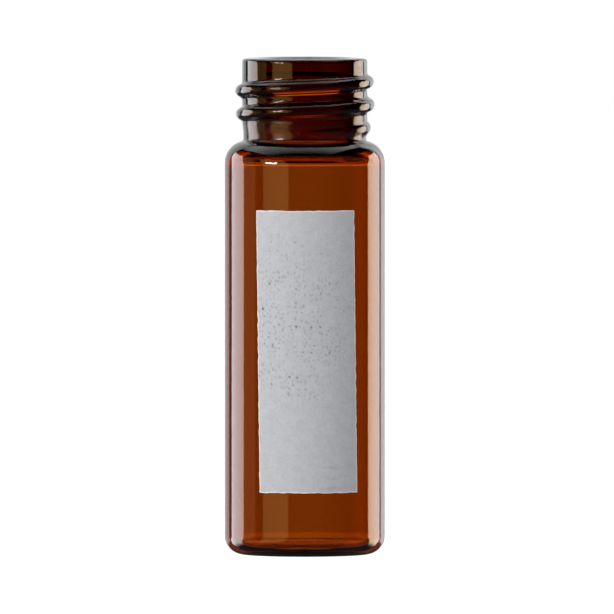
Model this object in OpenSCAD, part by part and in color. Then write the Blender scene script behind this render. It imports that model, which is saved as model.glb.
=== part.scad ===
// Glass sample vial: a flat-bottomed tube vial with a screw neck and a printed writing patch.
// Millimetres, +Z up. The origin is on the vial's axis, in the plane that it stands on.
// The patch faces -Y. Glass and patch are separate solids.

/* [Body] */
// Outside diameter of the tube
body_d = 14.75; // [13:0.05:18]
// Height over all, from the foot to the rim
total_h = 45.6; // [38:0.1:70]
// Wall of the tube
wall = 1; // [0.7:0.05:1.4]
// Outside radius of the shoulder
shoulder_r = 2.1; // [1.7:0.05:2.8]
// Extra thickness that the glass gains in the shoulder, where it is worked into the neck
shoulder_gain = 0.2; // [0:0.05:0.5]

/* [Base] */
// Glass between the foot and the floor of the chamber
base_t = 0.85; // [0.6:0.05:2]
// Outside radius of the heel, where the wall turns into the base
heel_r = 1.7; // [1:0.05:2.4]
// Inside radius of the heel
inner_heel_r = 0.95; // [0.4:0.05:1.6]
// Diameter of the shallow hollow inside the foot ring
hollow_d = 9.2; // [6:0.1:9.4]
// Depth of the hollow at its middle; the floor above rises with it
hollow_h = 0.2; // [0.1:0.02:0.4]

/* [Neck] */
// Height of the screw neck, from the top of the shoulder to the rim
finish_h = 7.55; // [7:0.05:10]
// Diameter of the neck at the rim and at the thread's root
neck_d = 11.5; // [11:0.02:12]
// Length of the neck at that diameter, down from the rim
root_h = 6; // [5.6:0.05:6.6]
// Diameter of the waist between the thread and the shoulder
waist_d = 11.28; // [10.8:0.02:11.46]
// Height of the taper from the root down to the waist
waist_taper_h = 0.8; // [0.3:0.05:0.9]
// Radius of the outside blend from the waist to the shoulder
waist_blend_r = 0.3; // [0.2:0.05:0.8]
// Diameter of the bore through the neck
bore_d = 7.7; // [7.4:0.05:9]
// Radius of the inside blend from the chamber's ceiling to the bore
throat_r = 1.4; // [0.5:0.05:1.6]
// Radius of the rim's outer edge
rim_outer_r = 0.3; // [0.15:0.05:0.5]
// Radius of the rim's inner edge
rim_inner_r = 0.5; // [0.2:0.05:0.8]

/* [Thread] */
// Diameter over the thread's crest
thread_d = 12.85; // [12.3:0.01:13.1]
// Height that the thread climbs in a turn: 12 turns to the inch
pitch = 2.117; // [2.05:0.001:2.6]
// Turns from one buried end to the other
turns = 2.75; // [1.5:0.05:3]
// Radius of the round bead that makes the crest
crest_r = 0.62; // [0.45:0.01:0.66]
// Radius of the fillet between the bead and the neck
root_fillet_r = 0.5; // [0.15:0.01:0.55]
// Depth of the thread's upper end below the rim
thread_top = 1.05; // [1:0.05:2]
// Angle of the thread's upper end, counter-clockwise from +X
thread_angle = 175; // [0:5:355]
// How far the upper end hangs below the helix
start_droop = 1.03; // [0:0.01:1.1]
// Arc over which it joins the helix
start_arc = 180; // [90:5:360]
// Arc over which the thread rises out of the neck at its upper end
lead_in = 45; // [40:5:150]
// Share of that rise that is left to a much longer arc
late_share = 0.15; // [0:0.05:0.5]
// Arc of that late part of the rise
late_arc = 600; // [100:10:700]
// Arc from the upper end at which the crest starts to come down
fade_start = 633; // [400:1:800]
// Arc that it would take to sink back at that slow rate
fade_arc = 546; // [300:1:900]
// Arc over which the lower end sinks back in the end
run_out = 170; // [60:5:450]
// Lean of the thread across the neck: this much high at -X and low at +X
thread_lean = 0.1; // [0:0.01:0.15]

/* [Writing patch] */
// Width of the patch, measured around the tube
patch_w = 9.54; // [5:0.02:14]
// Height of the patch
patch_h = 25.85; // [10:0.05:28]
// Height of its lower edge above the foot
patch_z = 5.9; // [3:0.05:8]
// Thickness of the fired print
patch_t = 0.05; // [0.03:0.01:0.1]
// Angle of its middle from straight ahead, towards +X
patch_turn = 1.85; // [-20:0.05:20]
// Lean of the patch's upright edges, with the lower end towards +X
patch_lean = 0.66; // [-2:0.02:2]

/* [Hidden] */
$fn = 96;

amber = [0.45, 0.2, 0.03, 0.85];
patch_grey = [0.76, 0.77, 0.8];

// Length by which a cut or a union runs past the face that it meets
past = 0.2;

body_r = body_d / 2;
chamber_r = body_r - wall;
neck_r = neck_d / 2;
waist_r = waist_d / 2;
bore_r = bore_d / 2;
shoulder_z = total_h - finish_h;
root_z = total_h - root_h;
// The shoulder's inner arc has its centre straight below the outer one's
corner_x = body_r - shoulder_r;
outer_corner_z = shoulder_z - shoulder_r;
inner_corner_z = outer_corner_z - shoulder_gain;
inner_shoulder_r = shoulder_r - wall;
hollow_r = hollow_d / 2;
dome_r = (pow(hollow_r, 2) + pow(hollow_h, 2)) / (2 * hollow_h);

// Bead of the thread: its crest over the neck, the centres of its arcs, and where they meet
crest_h = thread_d / 2 - neck_r;
bead_h = crest_h - crest_r;
fillet_x = sqrt(pow(crest_r + root_fillet_r, 2) - pow(root_fillet_r - bead_h, 2));
meet_angle = atan2(fillet_x, root_fillet_r - bead_h);
// The fillets stop at this slope, and the feet dip below the neck's surface
foot_slope = 25;
foot_dip = 0.08;
foot_depth = 0.25;
foot_x = min(fillet_x, pitch / 2 - 0.1);
thread_arc = 360 * turns;
thread_step = 5;
start_tuck = 0.01;
sunk = crest_h + foot_dip;

// Half section of a bottle: floor corner, wall, shoulder corner, then an S-curve into a neck that ends
// at z = top. The same form serves the outside of the glass and the space inside it.
module bottle_half(r, floor_z, floor_r, corner_z, corner_r, neck, blend_r, top) {
    blend_x = neck + blend_r;
    // A wide blend touches the corner's arc on the line between their centres.
    // A narrow one leaves a flat ring between the two arcs.
    dx = max(blend_x - corner_x, 0);
    blend_z = corner_z + sqrt(pow(corner_r + blend_r, 2) - pow(dx, 2));
    touch = [corner_x, corner_z] + [dx, blend_z - corner_z] * corner_r / (corner_r + blend_r);
    ring = blend_x < corner_x ? [[blend_x, touch[1]]] : [];

    translate([0, floor_z]) square([r - floor_r, corner_z - floor_z]);
    translate([0, floor_z + floor_r]) square([r, corner_z - floor_z - floor_r]);
    translate([r - floor_r, floor_z + floor_r]) circle(floor_r);
    translate([0, corner_z - past]) square([corner_x, corner_r + past]);
    translate([corner_x, corner_z]) circle(corner_r);
    translate([0, corner_z]) square([neck, top - corner_z]);
    difference() {
        polygon(concat([[0, corner_z], [corner_x, corner_z], touch], ring,
                       [[blend_x, blend_z], [0, blend_z]]));
        translate([blend_x, blend_z]) circle(blend_r);
    }
}

// Outside of the glass without its thread
module outer_half() {
    difference() {
        union() {
            bottle_half(body_r, 0, heel_r, outer_corner_z, shoulder_r, waist_r, waist_blend_r, root_z);
            polygon([[0, root_z - waist_taper_h], [waist_r, root_z - waist_taper_h], [neck_r, root_z],
                     [neck_r, total_h - rim_outer_r], [0, total_h - rim_outer_r]]);
            translate([0, root_z]) square([neck_r - rim_outer_r, root_h]);
            translate([neck_r - rim_outer_r, total_h - rim_outer_r]) circle(rim_outer_r);
        }
        translate([0, hollow_h - dome_r]) circle(dome_r, $fn = 720);
    }
}

// Space inside the glass: chamber, throat, bore and the rounded mouth
module inner_half() {
    difference() {
        union() {
            bottle_half(chamber_r, base_t, inner_heel_r, inner_corner_z, inner_shoulder_r, bore_r,
                        throat_r, total_h + past);
            difference() {
                translate([0, total_h - rim_inner_r]) square([bore_r + rim_inner_r, rim_inner_r + past]);
                translate([bore_r + rim_inner_r, total_h - rim_inner_r]) circle(rim_inner_r);
            }
        }
        translate([0, base_t + hollow_h - dome_r]) circle(dome_r, $fn = 720);
    }
}

// Full turn of the right half of a 2D section
module turned() {
    rotate_extrude() intersection() {
        children();
        translate([0, -past]) square([body_r + past, total_h + 3 * past]);
    }
}

// Section of the bead, from its lower foot to its upper one: [height along the neck, height over its surface]
function bead_flank(side) = [for (i = [0:2])
    let (a = foot_slope + (meet_angle - foot_slope) * i / 3)
    [side * (fillet_x - root_fillet_r * sin(a)), root_fillet_r * (1 - cos(a))]];
function bead_crown() = [for (i = [0:8])
    let (a = meet_angle * (i / 4 - 1))
    [crest_r * sin(a), bead_h + crest_r * cos(a)]];
function bead_foot(side) = [[side * foot_x, -foot_dip], [side * foot_x, -foot_depth]];
function upside(list) = [for (i = [len(list) - 1:-1:0]) list[i]];
bead = concat(upside(bead_foot(-1)), bead_flank(-1), bead_crown(), upside(bead_flank(1)), bead_foot(1));

// How far the bead lies sunk in the neck after an arc of t degrees from its upper end: most of it rises
// quickly and the rest slowly, and the lower end sinks back slowly at first
function bead_rise(t) = (1 - late_share) * pow(max(0, 1 - t / lead_in), 2)
                        + late_share * max(0, 1 - t / late_arc);
function bead_end(t) = max((t - fade_start) / fade_arc, 1 - (thread_arc - t) / run_out);
function bead_sink(t) = sunk * max(bead_rise(t), bead_end(t));
// How far the bead's middle hangs below the helix there
function bead_droop(t) = start_droop * pow(max(0, 1 - t / start_arc), 1.1);

// Stretch of the bead wound down the neck, right-handed, between two arcs from its upper end. It is drawn
// a little inside its true surface by tuck.
module bead_run(from, to, tuck) {
    count = len(bead);
    steps = ceil((to - from) / thread_step);
    points = [for (k = [0:steps], p = bead)
        let (t = from + (to - from) * k / steps,
             turn = thread_angle - t,
             r = neck_r + p[1] - bead_sink(t) - tuck,
             z = total_h - thread_top - pitch * t / 360 - thread_lean * cos(turn) - bead_droop(t))
        [r * cos(turn), r * sin(turn), z + p[0] * (1 - tuck)]];
    // Two triangles between each pair of points and the next section's pair
    sides = [for (k = [0:steps - 1], j = [0:count - 1], half = [0, 1])
        let (a = k * count + j, b = k * count + (j + 1) % count)
        half == 0 ? [a, b, b + count] : [a, b + count, a + count]];
    // The bead is symmetric, so strips across it close its two ends, up to one triangle at its crest
    ends = [for (j = [0:(count - 3) / 2], half = [0, 1], last = [0, 1])
        let (a = last * steps * count + j, b = a + count - 1 - 2 * j,
             strip = half == 0 ? [a, b, b - 1] : [a, b - 1, a + 1])
        if (half == 0 || b - a > 2) last == 0 ? upside(strip) : strip];
    polyhedron(points, concat(sides, ends));
}

// The thread. Its upper end hangs against the next turn, so that end is a run of its own.
module thread() {
    bead_run(0, start_arc, start_tuck);
    bead_run(start_arc - thread_step, thread_arc, 0);
}

// The glass, blown and formed from one tube: base, wall, shoulder and screw neck
module glass_body() {
    color(amber) difference() {
        union() {
            turned() outer_half();
            thread();
        }
        turned() inner_half();
    }
}

// The writing patch: a thin layer of matt ceramic print, fired on to the front of the tube
module writing_patch() {
    chord = 2 * body_r * sin(patch_w / body_r * 90 / PI);
    middle_z = patch_z + patch_h / 2;
    color(patch_grey) rotate([0, 0, patch_turn]) intersection() {
        difference() {
            cylinder(r = body_r + patch_t, h = total_h);
            translate([0, 0, -past]) cylinder(r = body_r, h = total_h + 2 * past);
        }
        translate([0, 0, middle_z])
            multmatrix([[1, 0, -tan(patch_lean), 0], [0, 1, 0, 0], [0, 0, 1, 0], [0, 0, 0, 1]])
            translate([-chord / 2, -body_r - 1, -patch_h / 2]) cube([chord, body_r, patch_h]);
    }
}

glass_body();
writing_patch();
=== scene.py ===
import math

import bpy
import numpy as np
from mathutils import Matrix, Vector, noise


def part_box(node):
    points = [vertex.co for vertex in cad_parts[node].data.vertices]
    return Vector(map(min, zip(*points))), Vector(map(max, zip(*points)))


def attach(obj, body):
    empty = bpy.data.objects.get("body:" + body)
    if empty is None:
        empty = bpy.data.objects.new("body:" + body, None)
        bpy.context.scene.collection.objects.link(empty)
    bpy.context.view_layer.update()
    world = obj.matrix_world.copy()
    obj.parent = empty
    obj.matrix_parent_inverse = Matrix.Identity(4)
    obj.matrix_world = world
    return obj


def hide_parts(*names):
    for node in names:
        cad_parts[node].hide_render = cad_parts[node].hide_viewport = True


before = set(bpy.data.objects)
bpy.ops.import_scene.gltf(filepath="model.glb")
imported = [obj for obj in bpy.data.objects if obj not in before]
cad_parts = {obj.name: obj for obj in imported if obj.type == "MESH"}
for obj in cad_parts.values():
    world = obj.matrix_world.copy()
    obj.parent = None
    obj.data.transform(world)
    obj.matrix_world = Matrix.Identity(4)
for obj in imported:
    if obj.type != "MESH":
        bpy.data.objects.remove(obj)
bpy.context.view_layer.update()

# Camera: a long lens two metres away, level with the vial's middle but for a slight look down, so that
# upright edges stay parallel and the far rim of the mouth shows just above the near one.
aim = Vector((0.00021, 0, 0.02271))
view_distance = 2.0
view_drop = math.radians(1.9)
frame_width = 0.05636
camera_data = bpy.data.cameras.new("studio_camera")
camera_data.sensor_width = 36
camera_data.lens = camera_data.sensor_width * view_distance / math.cos(view_drop) / frame_width
camera = bpy.data.objects.new("studio_camera", camera_data)
camera.location = aim + Vector((0, -view_distance, view_distance * math.tan(view_drop)))
camera.rotation_euler = (math.pi / 2 - view_drop, 0, 0)
bpy.context.scene.collection.objects.link(camera)
bpy.context.scene.camera = camera

# Glass body: one length of amber borosilicate tubing, worked in the flame into a flat base, a round shoulder
# and a screw neck with a right-hand round thread. Outside, rim and inside are one closed skin.
bpy.ops.object.select_all(action="DESELECT")
mm = 0.001
_, glass_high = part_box("glass_body")
total_h = glass_high.z
body_r = glass_high.x
wall = 1.0 * mm
shoulder_r = 2.1 * mm
base_t = 0.85 * mm
heel_r = 1.7 * mm
inner_heel_r = 0.95 * mm
hollow_r = 4.6 * mm
hollow_h = 0.2 * mm
finish_h = 7.55 * mm
neck_r = 5.75 * mm
root_h = 6.0 * mm
waist_r = 5.64 * mm
waist_taper_h = 0.8 * mm
waist_blend_r = 0.3 * mm
bore_r = 3.85 * mm
throat_r = 1.4 * mm
rim_outer_r = 0.3 * mm
rim_inner_r = 0.5 * mm
rim_crown_r = 2.8 * mm
support = 0.08 * mm
merge_gap = 0.0002 * mm
columns = 224
thread_rows = 230

pen = Vector()


def glass_line(x, z, rows=1):
    """Draws the outline straight on to (x, z), with a close row at each end to keep the shading flat."""
    global pen
    end = Vector((x, 0, z))
    run = end - pen
    inner = max(run.length - 2 * support, 0)
    cuts = [0] + [support + inner * i / rows for i in range(rows + 1)] + [run.length]
    if run.length < 3 * support:
        cuts = [0, run.length]
    for here, there in zip(cuts, cuts[1:]):
        step = run.normalized() * (there - here)
        bpy.ops.mesh.extrude_region_move(TRANSFORM_OT_translate={"value": step})
    pen = end


def glass_arc(centre_x, centre_z, degrees, steps):
    """Turns the outline on around a centre. Positive angles turn from +X towards +Z."""
    global pen
    centre = Vector((centre_x, 0, centre_z))
    angle = math.radians(degrees)
    bpy.ops.mesh.spin(steps=steps, angle=angle, center=centre, axis=(0, 1, 0))
    arm = pen - centre
    pen = centre + Vector((arm.x * math.cos(angle) - arm.z * math.sin(angle), 0,
                           arm.x * math.sin(angle) + arm.z * math.cos(angle)))


corner_x = body_r - shoulder_r
corner_z = total_h - finish_h - shoulder_r
chamber_r = body_r - wall
inner_shoulder_r = shoulder_r - wall
dome_r = (hollow_r ** 2 + hollow_h ** 2) / (2 * hollow_h)
dome_angle = math.degrees(math.asin(hollow_r / dome_r))
blend_x = waist_r + waist_blend_r
blend_rise = math.sqrt((shoulder_r + waist_blend_r) ** 2 - (blend_x - corner_x) ** 2)
blend_z = corner_z + blend_rise
s_angle = math.degrees(math.atan2(blend_rise, blend_x - corner_x))
ceiling_drop = 0.2 * mm
throat_z = corner_z - ceiling_drop + inner_shoulder_r + throat_r

rim_half = (neck_r - rim_outer_r - bore_r - rim_inner_r) / 2
rim_middle = bore_r + rim_inner_r + rim_half
outer_lean = math.asin(rim_half / (rim_crown_r - rim_outer_r))
inner_lean = math.asin(rim_half / (rim_crown_r - rim_inner_r))
rim_outer_z = total_h - rim_crown_r + (rim_crown_r - rim_outer_r) * math.cos(outer_lean)
rim_inner_z = total_h - rim_crown_r + (rim_crown_r - rim_inner_r) * math.cos(inner_lean)

# Outside, from the middle of the foot up to the rim
pen = Vector((0, 0, hollow_h))
bpy.ops.mesh.primitive_plane_add(size=mm, location=pen)
glass = bpy.context.object
glass.name = "vial_glass"
bpy.ops.object.transform_apply(location=True)
bpy.ops.object.mode_set(mode="EDIT")
bpy.ops.mesh.select_mode(type="VERT")
bpy.ops.mesh.select_all(action="SELECT")
bpy.ops.mesh.merge(type="CENTER")
glass_arc(0, hollow_h - dome_r, -dome_angle, 10)
glass_line(body_r - heel_r, 0)
glass_arc(body_r - heel_r, heel_r, 90, 18)
glass_line(body_r, corner_z, 8)
glass_arc(corner_x, corner_z, s_angle, 18)
glass_arc(blend_x, blend_z, -s_angle, 8)
glass_line(waist_r, total_h - root_h - waist_taper_h)
glass_line(neck_r, total_h - root_h, 14)
glass_line(neck_r, rim_outer_z, thread_rows)
glass_arc(neck_r - rim_outer_r, rim_outer_z, 90 - math.degrees(outer_lean), 8)
# Over the rim, and down the bore and the chamber to the middle of its floor
glass_arc(rim_middle, total_h - rim_crown_r, math.degrees(outer_lean + inner_lean), 8)
glass_arc(bore_r + rim_inner_r, rim_inner_z, 90 - math.degrees(inner_lean), 10)
glass_line(bore_r, throat_z, 6)
glass_arc(bore_r + throat_r, throat_z, 90, 12)
glass_line(corner_x, corner_z - ceiling_drop + inner_shoulder_r)
glass_arc(corner_x, corner_z - ceiling_drop, -90, 14)
glass_line(chamber_r, base_t + inner_heel_r, 8)
glass_arc(chamber_r - inner_heel_r, base_t + inner_heel_r, -90, 12)
glass_line(hollow_r, base_t)
glass_arc(0, base_t + hollow_h - dome_r, dome_angle, 10)
bpy.ops.mesh.select_all(action="SELECT")
bpy.ops.mesh.spin(steps=columns, angle=2 * math.pi, center=(0, 0, 0), axis=(0, 0, 1))
bpy.ops.mesh.select_all(action="SELECT")
bpy.ops.mesh.remove_doubles(threshold=merge_gap)
bpy.ops.mesh.normals_make_consistent(inside=False)
bpy.ops.object.mode_set(mode="OBJECT")
bpy.ops.object.shade_smooth()

# The thread is rolled out of the neck's own wall: a round bead on a helix, with a fillet on either side, that
# rises out of the neck below the rim and sinks back into it above the waist.
thread_r = 6.425 * mm
pitch = 2.117 * mm
thread_arc = 990
crest_r = 0.62 * mm
root_fillet_r = 0.5 * mm
thread_top = 1.05 * mm
thread_angle = 175
lead_in = 45
fade_start = 633
fade_arc = 546
run_out = 170
thread_lean = 0.1 * mm
start_droop = 1.03 * mm
start_arc = 180
droop_power = 1.1
late_share = 0.15
late_arc = 600
crest_h = thread_r - neck_r
bead_h = crest_h - crest_r
bead_foot = math.sqrt((crest_r + root_fillet_r) ** 2 - (root_fillet_r - bead_h) ** 2)
bead_meet = crest_r * bead_foot / (crest_r + root_fillet_r)
sunk = crest_h + 0.08 * mm
blend_width = 0.12 * mm
blend_share = 0.3
skin_margin = 0.15 * mm
level_margin = 0.01 * mm

co = np.empty(len(glass.data.vertices) * 3)
glass.data.vertices.foreach_get("co", co)
co = co.reshape(-1, 3)
radius = np.hypot(co[:, 0], co[:, 1])
neck = (radius > waist_r - skin_margin) & (co[:, 2] > blend_z - level_margin) & (co[:, 2] < rim_outer_z)
x, y, z = co[neck].T
r = radius[neck]
turn = np.degrees(np.arctan2(y, x))
raised = r.copy()
for lap in range(math.ceil(thread_arc / 360)):
    t = (thread_angle - turn) % 360 + 360 * lap
    droop = start_droop * np.maximum(0, 1 - t / start_arc) ** droop_power
    lean = thread_lean * np.cos(np.radians(turn))
    off = np.abs(z - (total_h - thread_top - pitch * t / 360 - lean - droop))
    crown = bead_h + np.sqrt(np.maximum(crest_r ** 2 - off ** 2, 0))
    inset = np.maximum(bead_foot - off, 0)
    flank = root_fillet_r - np.sqrt(np.maximum(root_fillet_r ** 2 - inset ** 2, 0))
    height = np.where(off < bead_meet, crown, flank)
    early = np.maximum(0, 1 - t / lead_in) ** 2
    late = np.maximum(0, 1 - t / late_arc)
    start = (1 - late_share) * early + late_share * late
    end = np.maximum((t - fade_start) / fade_arc, 1 - (thread_arc - t) / run_out)
    sink = sunk * np.maximum(start, end)
    bead = neck_r + height - sink
    soft = blend_width * np.clip(sink / (blend_share * crest_h), 0, 1) + 1e-9
    near = np.maximum(soft - np.abs(bead - raised), 0)
    lifted = np.maximum(bead, raised) + near ** 2 / (4 * soft)
    raised = np.where((t < thread_arc) & (off < bead_foot), lifted, raised)
co[neck, 0] *= raised / r
co[neck, 1] *= raised / r
glass.data.vertices.foreach_set("co", co.ravel())
glass.data.update()

glass_ior = 1.517
amber_tint = (0.7525, 0.525, 0.05, 1)
amber_density = 4000
waist_roughness = 0.14
rough_top, rough_full_top = 41.0 * mm, 39.8 * mm
rough_foot, rough_full_foot = 37.9 * mm, 38.3 * mm
amber = bpy.data.materials.new("amber_glass")
amber.use_nodes = True
amber_nodes, amber_links = amber.node_tree.nodes, amber.node_tree.links
amber_shader = amber_nodes["Principled BSDF"]
amber_shader.inputs["Base Color"].default_value = (1, 1, 1, 1)
amber_shader.inputs["IOR"].default_value = glass_ior
amber_place = amber_nodes.new("ShaderNodeTexCoord")
amber_height = amber_nodes.new("ShaderNodeSeparateXYZ")
amber_links.new(amber_place.outputs["Object"], amber_height.inputs[0])


def amber_fade(start_z, end_z, high):
    """Goes smoothly from 0 at one height on the vial to high at another."""
    fade = amber_nodes.new("ShaderNodeMapRange")
    fade.interpolation_type = "SMOOTHSTEP"
    for name, number in (("From Min", start_z), ("From Max", end_z), ("To Min", 0), ("To Max", high)):
        fade.inputs[name].default_value = number
    amber_links.new(amber_height.outputs[2], fade.inputs["Value"])
    return fade.outputs[0]


# The flame leaves the waist, between the shoulder and the thread, a little rough
waist_only = amber_nodes.new("ShaderNodeMath")
waist_only.operation = "MULTIPLY"
amber_links.new(amber_fade(rough_top, rough_full_top, waist_roughness), waist_only.inputs[0])
amber_links.new(amber_fade(rough_foot, rough_full_foot, 1), waist_only.inputs[1])
amber_links.new(waist_only.outputs[0], amber_shader.inputs["Roughness"])
amber_shader.inputs["Transmission Weight"].default_value = 1
amber_depth = amber_nodes.new("ShaderNodeVolumeAbsorption")
amber_depth.inputs["Color"].default_value = amber_tint
amber_depth.inputs["Density"].default_value = amber_density
amber_links.new(amber_depth.outputs["Volume"], amber_nodes["Material Output"].inputs["Volume"])
glass.data.materials.clear()
glass.data.materials.append(amber)
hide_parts("glass_body")
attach(glass, "root")

# Writing patch: a thin coat of matt grey ceramic ink, screened on to the front of the tube and fired. Its
# edges are a little ragged and carry a painted highlight, and small bare pits show in it.
patch_w = 9.54 * mm
patch_h = 25.85 * mm
patch_z = 5.9 * mm
patch_t = 0.05 * mm
patch_seat = 0.004 * mm
patch_turn = math.radians(1.85)
patch_lean = math.radians(0.66)
ragged = 0.055 * mm
side_waves = 40
end_waves = 18
bpy.ops.object.select_all(action="DESELECT")
bpy.ops.mesh.primitive_grid_add(x_subdivisions=90, y_subdivisions=240, size=1, location=(0, 0, 0))
patch = bpy.context.object
patch.name = "writing_patch_ink"
across = patch_w / body_r
middle_z = patch_z + patch_h / 2
for point in patch.data.vertices:
    u, v = point.co.x, point.co.y
    side_noise = noise.noise(Vector((10 if u > 0 else -10, v * side_waves, 3.1)))
    end_noise = noise.noise(Vector((u * end_waves, 10 if v > 0 else -10, 7.7)))
    flat_x = body_r * math.sin(u * across) + ragged * side_noise * abs(2 * u) ** 3
    flat_z = v * patch_h + ragged * end_noise * abs(2 * v) ** 9
    front_x = flat_x - flat_z * math.tan(patch_lean)
    wrap = math.asin(front_x / body_r) + patch_turn
    seat_r = body_r + patch_seat
    point.co = (seat_r * math.sin(wrap), -seat_r * math.cos(wrap), middle_z + flat_z)
bpy.ops.object.mode_set(mode="EDIT")
bpy.ops.mesh.select_all(action="SELECT")
bpy.ops.mesh.normals_make_consistent(inside=False)
bpy.ops.object.mode_set(mode="OBJECT")
outward = patch.data.polygons[0].normal.y < 0
thicken = patch.modifiers.new("ink_thickness", "SOLIDIFY")
thicken.thickness = patch_t - patch_seat
thicken.offset = 1 if outward else -1
bpy.ops.object.modifier_apply(modifier="ink_thickness")
bpy.ops.object.shade_smooth_by_angle(angle=math.radians(40))

ink = bpy.data.materials.new("ceramic_print")
ink.use_nodes = True
ink_nodes, ink_links = ink.node_tree.nodes, ink.node_tree.links
ink_shader = ink_nodes["Principled BSDF"]
wobble_scale = 5
wobble_reach = (0.3, 0.42, 0)
pit_floor = 0.3
least_depth = 0.25


def ink_math(operation, a, b=0.0):
    """One step of arithmetic on a mask of the ink."""
    step = ink_nodes.new("ShaderNodeMath")
    step.operation = operation
    for socket, value in zip(step.inputs, (a, b)):
        if isinstance(value, (int, float)):
            socket.default_value = value
        else:
            ink_links.new(value, socket)
    return step.outputs[0]


def ink_fade(value, start, end, low=0.0, high=1.0):
    """Goes smoothly from low at start to high at end."""
    fade = ink_nodes.new("ShaderNodeMapRange")
    fade.interpolation_type = "SMOOTHSTEP"
    ink_links.new(value, fade.inputs["Value"])
    for name, number in (("From Min", start), ("From Max", end), ("To Min", low), ("To Max", high)):
        fade.inputs[name].default_value = number
    return fade.outputs["Result"]


def ink_move(shift, upward, stretch=(1, 1, 1)):
    """The place on the print in millimetres, moved so that each pattern is its own."""
    move = ink_nodes.new("ShaderNodeMapping")
    move.inputs["Location"].default_value = (shift, shift * upward, 0)
    move.inputs["Scale"].default_value = stretch
    ink_links.new(print_mm.outputs[0], move.inputs["Vector"])
    return move.outputs[0]


def ink_noise(scale, detail, shift, stretch=(1, 1, 1)):
    """Cloudy noise over the print, with scale in clouds a millimetre."""
    cloud = ink_nodes.new("ShaderNodeTexNoise")
    cloud.inputs["Scale"].default_value = scale
    cloud.inputs["Detail"].default_value = detail
    ink_links.new(ink_move(shift, 0.7, stretch), cloud.inputs["Vector"])
    return cloud.outputs["Fac"]


def ink_pits(scale, size, share, shift):
    """Small ragged pits: a share of the cells of a Voronoi pattern has one, size across in millimetres."""
    place = ink_move(shift, 1.3)
    wobble = ink_nodes.new("ShaderNodeTexNoise")
    wobble.inputs["Scale"].default_value = wobble_scale
    ink_links.new(place, wobble.inputs["Vector"])
    shifted = ink_nodes.new("ShaderNodeVectorMath")
    shifted.operation = "MULTIPLY_ADD"
    ink_links.new(wobble.outputs["Color"], shifted.inputs[0])
    shifted.inputs[1].default_value = wobble_reach
    ink_links.new(place, shifted.inputs[2])
    cells = ink_nodes.new("ShaderNodeTexVoronoi")
    cells.voronoi_dimensions = "2D"
    cells.inputs["Scale"].default_value = scale
    ink_links.new(shifted.outputs[0], cells.inputs["Vector"])
    pick = ink_nodes.new("ShaderNodeSeparateColor")
    ink_links.new(cells.outputs["Color"], pick.inputs[0])
    pit_r = size / 2 * scale
    spot = ink_fade(cells.outputs["Distance"], pit_r, pit_floor * pit_r)
    chosen = ink_math("LESS_THAN", pick.outputs[0], share)
    depth = ink_math("ADD", ink_math("MULTIPLY", pick.outputs[1], 1 - least_depth), least_depth)
    return ink_math("MULTIPLY", ink_math("MULTIPLY", spot, chosen), depth)


print_uv = ink_nodes.new("ShaderNodeUVMap")
print_uv.uv_map = patch.data.uv_layers[0].name
print_mm = ink_nodes.new("ShaderNodeMapping")
print_mm.inputs["Scale"].default_value = (patch_w / mm, patch_h / mm, 1)
ink_links.new(print_uv.outputs[0], print_mm.inputs["Vector"])
print_xy = ink_nodes.new("ShaderNodeSeparateXYZ")
ink_links.new(print_uv.outputs[0], print_xy.inputs[0])
across_u, up_v = print_xy.outputs[0], print_xy.outputs[1]
ink_body = (0.6, 0.61, 0.64, 1)
# The lighter colour laid along the print's edges is a painted highlight
ink_edge_highlight = (0.95, 0.89, 0.88, 1)
mottle = {"start": 0.3, "end": 0.7, "low": 0.965, "high": 1.035}
fine_depth, deep_depth = 0.6, 1.3
pitted_height = 0.6
pit_dark = 0.66
rub_dark = 0.16
from_sides = ink_math("MINIMUM", across_u, ink_math("SUBTRACT", 1.0, across_u))
from_ends = ink_math("MINIMUM", up_v, ink_math("SUBTRACT", 1.0, up_v))
edge_u = ink_math("MULTIPLY", from_sides, patch_w / mm)
edge_v = ink_math("MULTIPLY", from_ends, patch_h / mm)
# Painted highlight: a band along the print's edges, with a wavy inner border, that mixes the ink towards the
# lighter colour
edge_highlight_wave = ink_fade(ink_noise(scale=1.6, detail=2, shift=4.0), 0.3, 0.7, low=-0.03, high=0.03)
rim = ink_fade(ink_math("ADD", ink_math("MINIMUM", edge_u, edge_v), edge_highlight_wave), 0.14, 0.04)
# Pits are commonest in the upper middle of the print and rarer at its right, and come in drifts
off_middle = ink_math("ABSOLUTE", ink_math("SUBTRACT", up_v, pitted_height))
drifts = ink_fade(ink_noise(scale=0.35, detail=1, shift=9.0), 0.35, 0.6, low=0.35, high=1.0)
pitted = ink_fade(off_middle, 0.36, 0.08, low=0.12, high=1.0)
pitted = ink_math("MULTIPLY", pitted, ink_fade(across_u, 0.95, 0.45, low=0.4, high=1.0))
pitted = ink_math("MULTIPLY", pitted, drifts)
fine_pits = ink_math("MULTIPLY", ink_pits(scale=2.5, size=0.32, share=0.75, shift=3.0), fine_depth)
deep_pits = ink_math("MULTIPLY", ink_pits(scale=1.3, size=0.3, share=0.34, shift=17.0), deep_depth)
pits = ink_math("MULTIPLY", ink_math("MAXIMUM", fine_pits, deep_pits), pitted)
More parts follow.
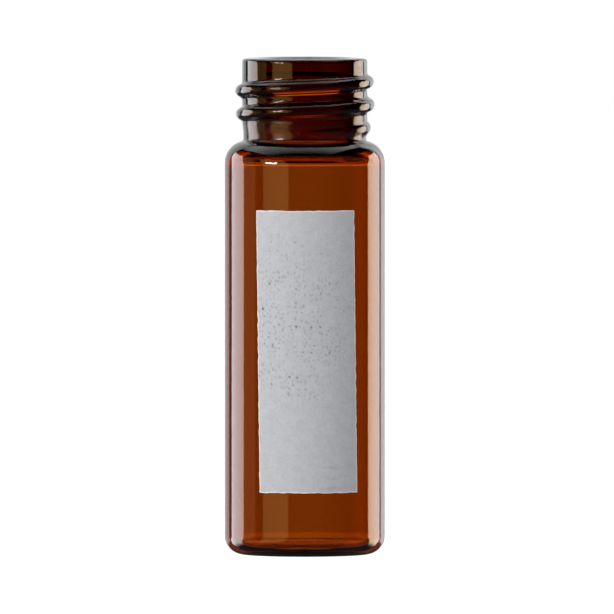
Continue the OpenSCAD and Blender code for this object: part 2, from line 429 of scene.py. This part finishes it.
# Faint clouds and a finer grain run all over it, and its lower right corner is a little rubbed
clouds = ink_fade(ink_noise(scale=1.1, detail=3, shift=0.0), **mottle)
grain = ink_fade(ink_noise(scale=4.5, detail=2, shift=6.0), **mottle)
streaks = ink_fade(ink_noise(scale=0.8, detail=3, shift=21.0, stretch=(0.35, 1.6, 1)), 0.52, 0.66)
corner = ink_math("MULTIPLY", ink_fade(up_v, 0.2, 0.03), ink_fade(across_u, 0.35, 0.8))
rubbed = ink_math("MULTIPLY", streaks, corner)
pit_tone = ink_math("SUBTRACT", 1.0, ink_math("MULTIPLY", pits, pit_dark))
rub_tone = ink_math("SUBTRACT", 1.0, ink_math("MULTIPLY", rubbed, rub_dark))
tone = ink_math("MULTIPLY", ink_math("MULTIPLY", clouds, grain), pit_tone)
tone = ink_math("MULTIPLY", tone, rub_tone)
shade = ink_nodes.new("ShaderNodeMix")
shade.data_type = "RGBA"
shade.inputs[6].default_value = ink_body
shade.inputs[7].default_value = ink_edge_highlight
ink_links.new(rim, shade.inputs[0])
toned = ink_nodes.new("ShaderNodeVectorMath")
toned.operation = "SCALE"
ink_links.new(shade.outputs[2], toned.inputs[0])
ink_links.new(tone, toned.inputs["Scale"])
ink_links.new(toned.outputs[0], ink_shader.inputs["Base Color"])
matt_ink = ink_fade(ink_noise(scale=2.0, detail=2, shift=13.0), 0.3, 0.7, low=0.55, high=0.7)
ink_links.new(matt_ink, ink_shader.inputs["Roughness"])
ink_shader.inputs["Specular IOR Level"].default_value = 0.3
ink_relief = ink_math("SUBTRACT", ink_math("MULTIPLY", grain, 0.5), pits)
ink_bump = ink_nodes.new("ShaderNodeBump")
ink_bump.inputs["Strength"].default_value = 0.35
ink_bump.inputs["Distance"].default_value = 0.02 * mm
ink_links.new(ink_relief, ink_bump.inputs["Height"])
ink_links.new(ink_bump.outputs[0], ink_shader.inputs["Normal"])
patch.data.materials.clear()
patch.data.materials.append(ink)
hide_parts("writing_patch")
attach(patch, "root")

# Stage: a plain white floor and two lamps at the front left. The small one gives the sparks and shows only in
# reflections, and the large one lights the ink. The backdrop and the soft boxes are in the world.
bpy.ops.object.select_all(action="DESELECT")
floor_place = (0, 0, -0.01 * mm)
bpy.ops.mesh.primitive_circle_add(vertices=96, radius=1.5, fill_type="NGON", location=floor_place)
floor = bpy.context.object
floor.name = "studio_floor"
floor_paint = bpy.data.materials.new("studio_floor")
floor_paint.use_nodes = True
floor_nodes, floor_links = floor_paint.node_tree.nodes, floor_paint.node_tree.links
floor_nodes.remove(floor_nodes["Principled BSDF"])
matt = floor_nodes.new("ShaderNodeBsdfDiffuse")
matt.inputs["Color"].default_value = (0.8, 0.8, 0.8, 1)
glow = floor_nodes.new("ShaderNodeEmission")
rays = floor_nodes.new("ShaderNodeLightPath")
both = floor_nodes.new("ShaderNodeAddShader")
floor_links.new(rays.outputs["Is Camera Ray"], glow.inputs["Strength"])
floor_links.new(matt.outputs[0], both.inputs[0])
floor_links.new(glow.outputs[0], both.inputs[1])
floor_links.new(both.outputs[0], floor_nodes["Material Output"].inputs["Surface"])
floor.data.materials.append(floor_paint)
floor.visible_transmission = False
floor.visible_glossy = False


def studio_lamp(name, left_of_camera, above, width, height, radiance, distance=0.4):
    """A soft rectangular lamp aimed at the vial's middle, at degrees left of and above the camera's side."""
    a, e = math.radians(left_of_camera), math.radians(above)
    away = Vector((-math.sin(a) * math.cos(e), -math.cos(a) * math.cos(e), math.sin(e)))
    data = bpy.data.lights.new(name, "AREA")
    data.shape = "RECTANGLE"
    data.size = width
    data.size_y = height
    data.energy = radiance * math.pi * width * height
    lamp = bpy.data.objects.new(name, data)
    lamp.location = Vector((0, 0, total_h / 2)) + away * distance
    lamp.rotation_euler = away.to_track_quat("Z", "Y").to_euler()
    lamp.visible_camera = False
    bpy.context.scene.collection.objects.link(lamp)
    return lamp


spark = studio_lamp("left_spark", left_of_camera=49, above=7.9, width=0.12, height=0.042, radiance=27)
spark.visible_diffuse = False
spark.visible_transmission = False
front = studio_lamp("front_fill", left_of_camera=48, above=12, width=0.5, height=0.5, radiance=4.8,
                    distance=0.8)
front.visible_glossy = False
front.visible_transmission = False

world = bpy.data.worlds.new("white_studio")
bpy.context.scene.world = world
world.use_nodes = True
wn, wl = world.node_tree.nodes, world.node_tree.links


def world_math(operation, a, b=0.0, c=None):
    """One step of arithmetic on the direction that a ray leaves in."""
    step = wn.new("ShaderNodeMath")
    step.operation = operation
    for socket, value in zip(step.inputs, (a, b) if c is None else (a, b, c)):
        if isinstance(value, (int, float)):
            socket.default_value = value
        else:
            wl.new(value, socket)
    return step.outputs[0]


def world_stops(angle, stops):
    """Looks an angle up in a list of (degrees, colour), with straight lines between them."""
    ramp = wn.new("ShaderNodeValToRGB")
    for k, (degrees, colour) in enumerate(stops):
        place = (degrees + 180) / 360
        if k < 2:
            stop = ramp.color_ramp.elements[k]
            stop.position = place
        else:
            stop = ramp.color_ramp.elements.new(place)
        stop.color = (*colour, 1) if isinstance(colour, tuple) else (colour, colour, colour, 1)
    wl.new(world_math("MULTIPLY_ADD", angle, 1 / 360, 0.5), ramp.inputs[0])
    return ramp.outputs["Color"]


def world_mix(kind, share, a, b):
    """Puts two colours together. In a colour mix they are inputs 6 and 7, and the result is output 2."""
    blend = wn.new("ShaderNodeMix")
    blend.data_type = "RGBA"
    blend.blend_type = kind
    for socket, value in ((blend.inputs[0], share), (blend.inputs[6], a), (blend.inputs[7], b)):
        if isinstance(value, (int, float)):
            socket.default_value = value if socket == blend.inputs[0] else (value, value, value, 1)
        else:
            wl.new(value, socket)
    return blend.outputs[2]


box_scale = 50
least_rise = 0.001
narrowing_rate = 0.5
diffuse_share = 0.45
direction = wn.new("ShaderNodeTexCoord")
split = wn.new("ShaderNodeSeparateXYZ")
wl.new(direction.outputs["Generated"], split.inputs[0])
bearing = world_math("MULTIPLY", world_math("ARCTAN2", split.outputs[0], split.outputs[1]), 180 / math.pi)
side = world_math("ABSOLUTE", bearing)
rise = world_math("MULTIPLY", world_math("ARCSINE", split.outputs[2]), 180 / math.pi)
# What is seen through the glass, by its rise: a table that is bright only straight below, a white backdrop
# with two brighter bands above the level, and pale walls at the sides
backdrop = world_stops(rise, (
    (-180, 0.9), (-62, 0.9), (-56, 0.03), (-20, 0.03), (-17, 0.4), (-14, 2.2), (-5, 2.1), (-2.5, 1.25),
    (4.5, 1.25), (6, 4.4), (13, 4.2), (15, 3.0), (19, 2.2), (24.5, 2.2), (26, 5.0), (30, 5.5), (33, 2.0),
    (36, 0.3), (41, 0.03), (180, 0.03)))
walls = world_stops(rise, ((-180, 0.1), (-65, 0.3), (-38, 0.9), (24, 0.9), (32, 0.1), (180, 0.1)))
wall_part = world_stops(side, ((-180, 0.0), (43.5, 0.0), (44.5, 1.6), (86, 1.6), (92, 0.7), (180, 0.7)))
back_part = world_stops(side, ((-180, 1.0), (5, 1.0), (9, 1.5), (39.5, 1.5), (40.5, 0.0), (180, 0.0)))
through = world_mix("ADD", 1.0, world_mix("MULTIPLY", 1.0, backdrop, back_part),
                    world_mix("MULTIPLY", 1.0, walls, wall_part))
# What is mirrored: the backdrop, a tall soft strip on either side that narrows off the level, a golden
# reflector at the left behind the vial, the table, and a wide soft box overhead
is_back = world_stops(side, ((-180, 1.0), (41, 1.0), (43, 0.0), (180, 0.0)))
narrowing = world_math("MULTIPLY_ADD", is_back, -narrowing_rate, narrowing_rate)
off_level = world_math("MULTIPLY", world_math("ABSOLUTE", rise), narrowing)
narrowed = world_math("MULTIPLY_ADD", world_math("SIGN", bearing), off_level, bearing)
around = world_stops(narrowed, (
    (-158, 0.0), (-157, (1.42, 0.8, 0.23)), (-119, (1.42, 0.8, 0.23)), (-118, 0.0), (-107, 0.0),
    (-103, (0.5, 0.38, 0.15)), (-92, (0.38, 0.24, 0.08)), (-87, (0.6, 0.4, 0.18)), (-84, (0.3, 0.2, 0.05)),
    (-82.3, (2.4, 1.5, 0.8)), (-81.3, (6.0, 4.6, 3.6)), (-79.5, (5.4, 4.6, 4.1)), (-77, (4.9, 4.5, 4.3)),
    (-65, (4.7, 4.4, 4.4)), (-57, (4.5, 4.4, 4.5)), (-52, (5.0, 4.9, 5.0)), (-50.3, 0.1), (-40.5, 0.1),
    (-39.5, 1.0), (20, 1.0), (28, 1.8), (37, 1.8), (40.5, 0.1), (44, 0.1), (45, (3.8, 3.5, 3.2)),
    (52, (4.3, 3.9, 3.5)), (60, (6.3, 4.8, 4.0)), (66, (6.4, 5.0, 3.9)), (75, (6.8, 5.1, 3.4)),
    (76.6, (7.8, 5.4, 3.5)), (77.6, 0.0)))
strip_rise = world_stops(rise, (
    (-180, 0.0), (-30, 0.0), (-26, 0.15), (-20, 0.8), (-16, 1.0), (17, 1.0), (21, 0.9), (23, 0.0),
    (180, 0.0)))
back_rise = world_stops(rise, ((-180, 0.03), (-14, 0.03), (-10, 1.0), (36, 1.0), (42, 0.05), (180, 0.05)))
table_rise = world_stops(rise, ((-180, 1.0), (-14, 1.0), (-10, 0.0), (180, 0.0)))
table = world_stops(bearing, (
    (-180, 0.03), (-150, 0.05), (-110, 0.08), (-45, 0.08), (-30, 0.04), (0, 0.03), (40, 0.03), (60, 0.1),
    (180, 0.03)))
# The soft box is flat: its places are where a ray crosses a plane box_scale above the vial
upward = world_math("MAXIMUM", split.outputs[2], least_rise)
box_x = world_math("DIVIDE", world_math("MULTIPLY", split.outputs[0], box_scale), upward)
box_y = world_math("DIVIDE", world_math("MULTIPLY", split.outputs[1], box_scale), upward)
across_box = world_stops(box_x, ((-180, 0.0), (-57, 0.0), (-51, 1.0), (33, 1.0), (38, 0.0), (180, 0.0)))
along_box = world_stops(box_y, (
    (-180, 0.0), (-34, 0.0), (-21, 0.5), (-9, 1.0), (8, 1.4), (25, 1.8), (43, 1.1), (52, 0.0), (180, 0.0)))
mirrored = world_mix("MULTIPLY", 1.0, around, world_mix("MIX", is_back, strip_rise, back_rise))
mirrored = world_mix("ADD", 1.0, mirrored, world_mix("MULTIPLY", 1.0, table, table_rise))
mirrored = world_mix("ADD", 1.0, mirrored, world_mix("MULTIPLY", 1.0, across_box, along_box))
light_path = wn.new("ShaderNodeLightPath")
is_through = light_path.outputs["Is Transmission Ray"]
not_through = world_math("SUBTRACT", 1.0, is_through)
is_mirrored = world_math("MULTIPLY", light_path.outputs["Is Glossy Ray"], not_through)
is_seen, is_lighting = light_path.outputs["Is Camera Ray"], light_path.outputs["Is Diffuse Ray"]
plain = world_math("MULTIPLY_ADD", is_lighting, diffuse_share, is_seen)
seen = world_mix("MIX", is_mirrored, world_mix("MIX", is_through, plain, through), mirrored)
wl.new(seen, wn["Background"].inputs["Color"])

bpy.context.scene.view_settings.view_transform = "Standard"
bpy.context.scene.cycles.max_bounces = 32
bpy.context.scene.cycles.glossy_bounces = 16
bpy.context.scene.cycles.transmission_bounces = 24
